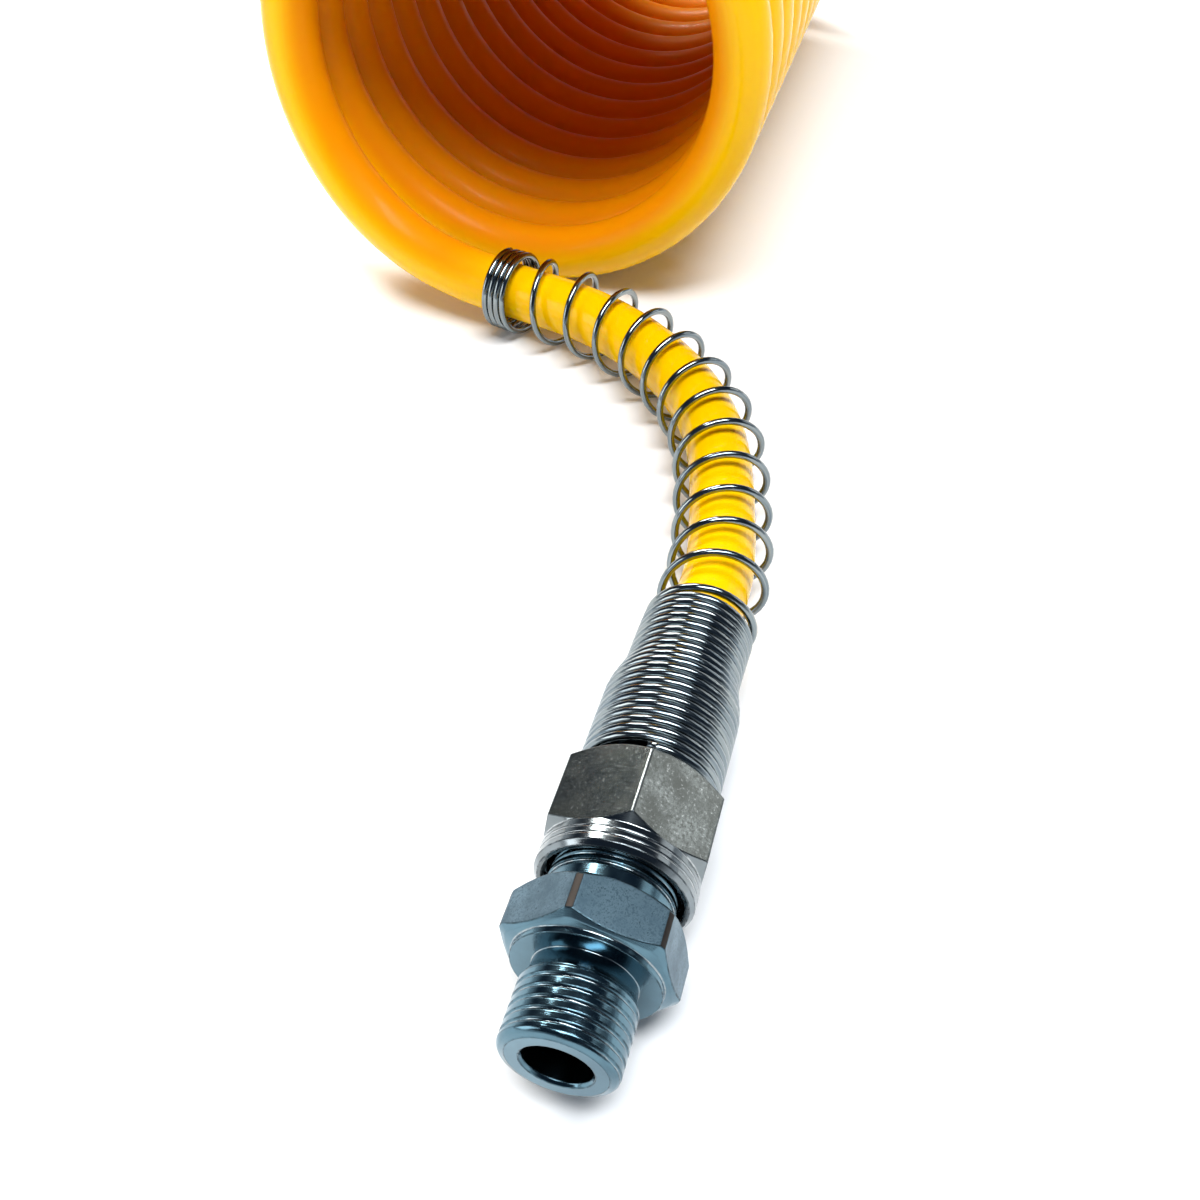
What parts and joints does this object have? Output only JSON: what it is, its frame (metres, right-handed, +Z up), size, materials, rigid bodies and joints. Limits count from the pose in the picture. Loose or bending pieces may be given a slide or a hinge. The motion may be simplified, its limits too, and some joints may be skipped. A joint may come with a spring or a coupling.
{
  "type": "coiled hose assembly",
  "caption": "Coiled yellow plastic air hose with a screwed union, male connecting thread and wire spring guard at each end",
  "frame": {"origin": "centre of the bottom of the whole object, on the ground the coil lies on", "axes": "+Z up; +Y along the coil's axis and both unions' axes, from end a to end b; +X towards end a's side"},
  "size_m": [0.1612, 0.5668, 0.11],
  "materials": {
    "tube": "glossy saturated yellow extruded plastic",
    "zinc": "bluish zinc plate on turned steel",
    "nut_zinc": "duller grey zinc plate on steel, mottled",
    "wire": "bright plated spring wire",
    "brass": "plain turned brass"
  },
  "bodies": {
    "hose": {"hose_coil": "tube", "hose_tail_a": "tube", "hose_tail_b": "tube", "stud_connector_a": "zinc", "stud_connector_b": "zinc", "clamping_ring_a": "brass", "clamping_ring_b": "brass", "support_sleeve_a": "brass", "support_sleeve_b": "brass"},
    "guard_a": {"spring_guard_a": "wire"},
    "nut_a": {"union_nut_a": "nut_zinc"},
    "guard_b": {"spring_guard_b": "wire"},
    "nut_b": {"union_nut_b": "nut_zinc"}
  },
  "joints": [
    {"name": "guard_a_slide", "type": "slide", "parent": "hose", "child": "guard_a", "axis": [0, 1, 0], "range_m": [0, 0.009], "deforming": ["spring_guard_a"]},
    {"name": "nut_a_turn", "type": "hinge", "parent": "guard_a", "child": "nut_a", "pos_m": [0.0685, -0.2588, 0.0128], "axis": [0, 1, 0], "range_deg": [0, 2160.5]},
    {"name": "guard_b_slide", "type": "slide", "parent": "hose", "child": "guard_b", "axis": [0, -1, 0], "range_m": [0, 0.009], "deforming": ["spring_guard_b"]},
    {"name": "nut_b_turn", "type": "hinge", "parent": "guard_b", "child": "nut_b", "pos_m": [-0.0685, 0.2588, 0.0128], "axis": [0, -1, 0], "range_deg": [0, 2160.5]}
  ],
  "couplings": [
    {"joint": "nut_a_turn", "follows": "guard_a_slide", "rad_per_m": 4188.8},
    {"joint": "nut_b_turn", "follows": "guard_b_slide", "rad_per_m": 4188.8}
  ]
}
